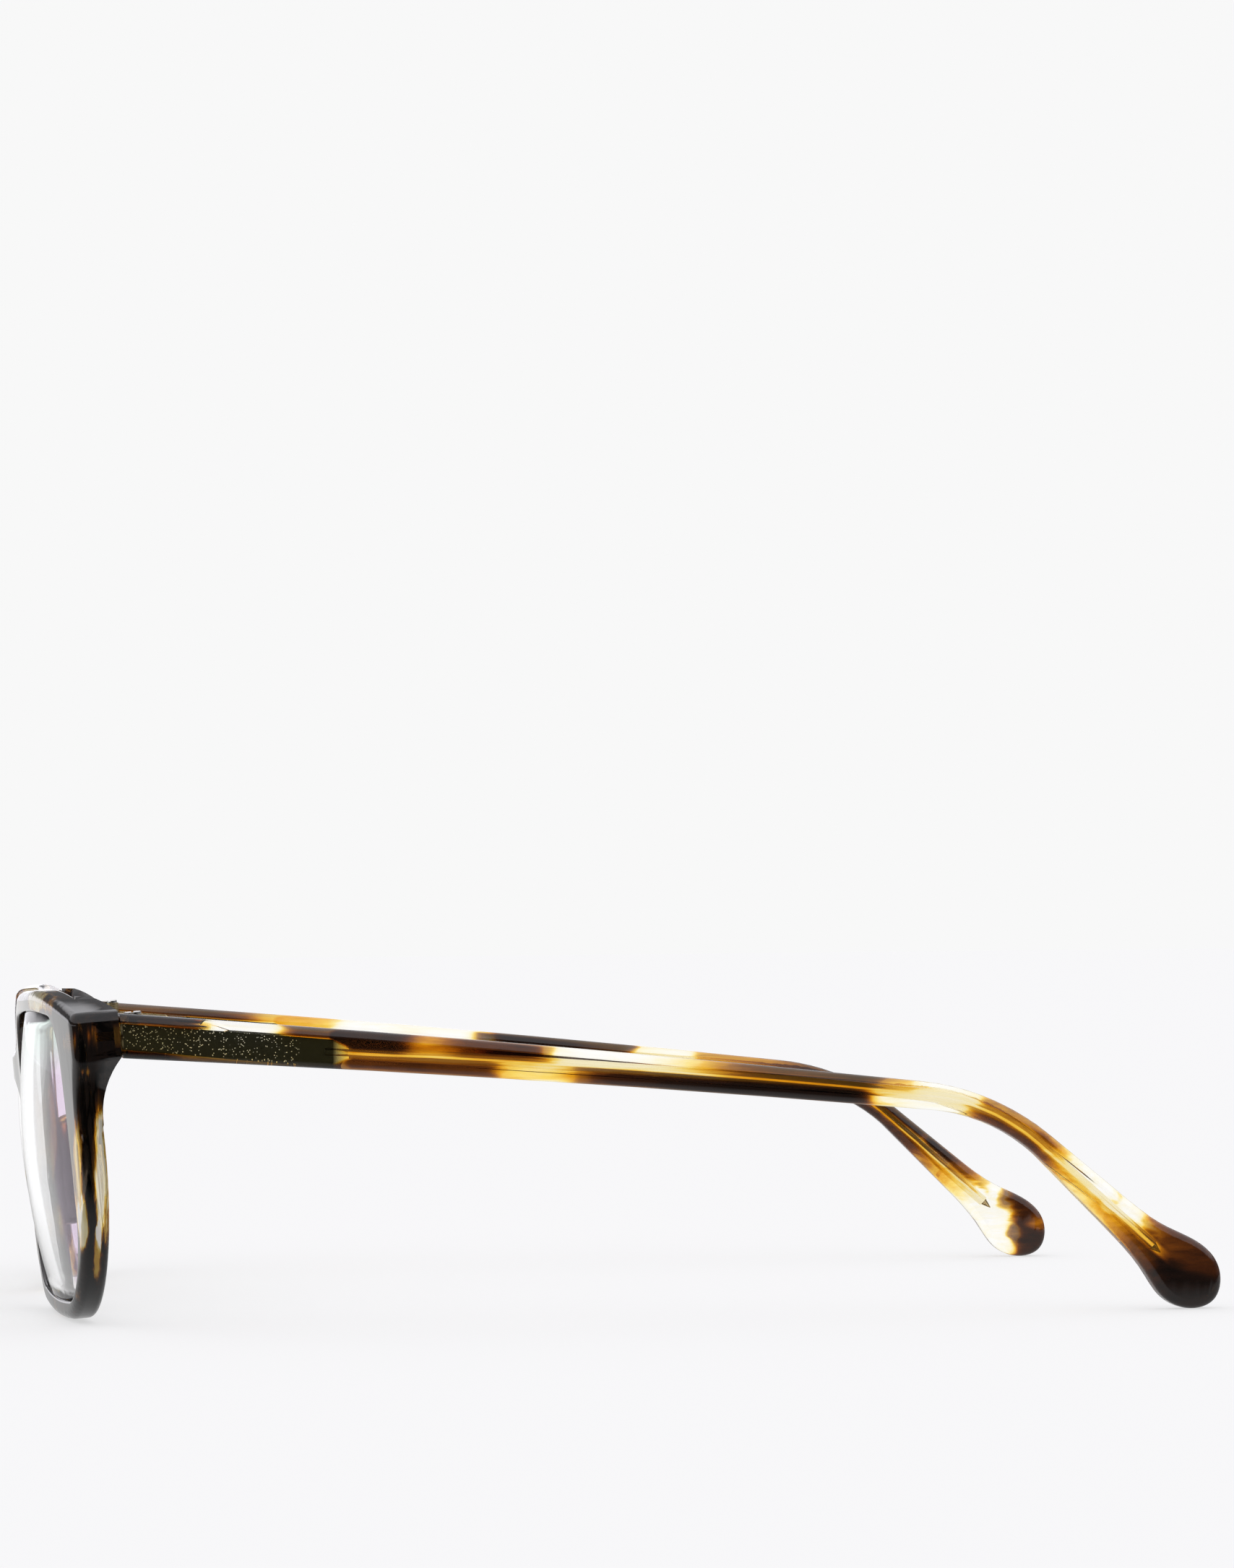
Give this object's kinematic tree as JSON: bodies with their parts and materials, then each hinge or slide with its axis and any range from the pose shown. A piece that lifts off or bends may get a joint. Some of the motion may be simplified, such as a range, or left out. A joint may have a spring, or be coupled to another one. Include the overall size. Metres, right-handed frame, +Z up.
{
  "type": "eyeglasses frame",
  "caption": "Rectangular full-rim acetate eyeglasses frame with clear lenses, saddle nose pads and folding temples that end in bent-down drops.",
  "frame": {"origin": "middle of the footprint, on the table that the rims and the temple tips stand on", "axes": "+Z up, the front faces -Y, the temples run back along +Y, +X is the wearer's left"},
  "size_m": [0.1368, 0.1538, 0.0424],
  "materials": {
    "front_acetate": "polished mottled tortoiseshell acetate, mostly dark",
    "temple_acetate": "polished translucent acetate mottled dark brown, amber and clear",
    "core_metal": "nickel silver core, stippled blade and smooth wire",
    "hinge_metal": "satin nickel silver",
    "screw_steel": "bright plated screw",
    "lens": "clear coated plastic lens with faint green and purple reflections"
  },
  "bodies": {
    "front": {"front": "front_acetate", "left_lens": "lens", "left_nose_pad": "front_acetate", "left_front_hinge_leaf": "hinge_metal", "left_front_hinge_pins": "hinge_metal", "left_hinge_screw": "screw_steel", "right_lens": "lens", "right_nose_pad": "front_acetate", "right_front_hinge_leaf": "hinge_metal", "right_front_hinge_pins": "hinge_metal", "right_hinge_screw": "screw_steel"},
    "left_temple_arm": {"left_temple": "temple_acetate", "left_core_wire": "core_metal", "left_temple_hinge_leaf": "hinge_metal", "left_temple_hinge_rivets": "hinge_metal"},
    "right_temple_arm": {"right_temple": "temple_acetate", "right_core_wire": "core_metal", "right_temple_hinge_leaf": "hinge_metal", "right_temple_hinge_rivets": "hinge_metal"}
  },
  "joints": [
    {"name": "left_temple_fold", "type": "hinge", "parent": "front", "child": "left_temple_arm", "pos_m": [0.0627, -0.06206, 0.03697], "axis": [0, -0.0872, 0.9962], "range_deg": [0, 87]},
    {"name": "right_temple_fold", "type": "hinge", "parent": "front", "child": "right_temple_arm", "pos_m": [-0.0627, -0.06206, 0.03697], "axis": [0, 0.0872, -0.9962], "range_deg": [0, 81.5]}
  ]
}
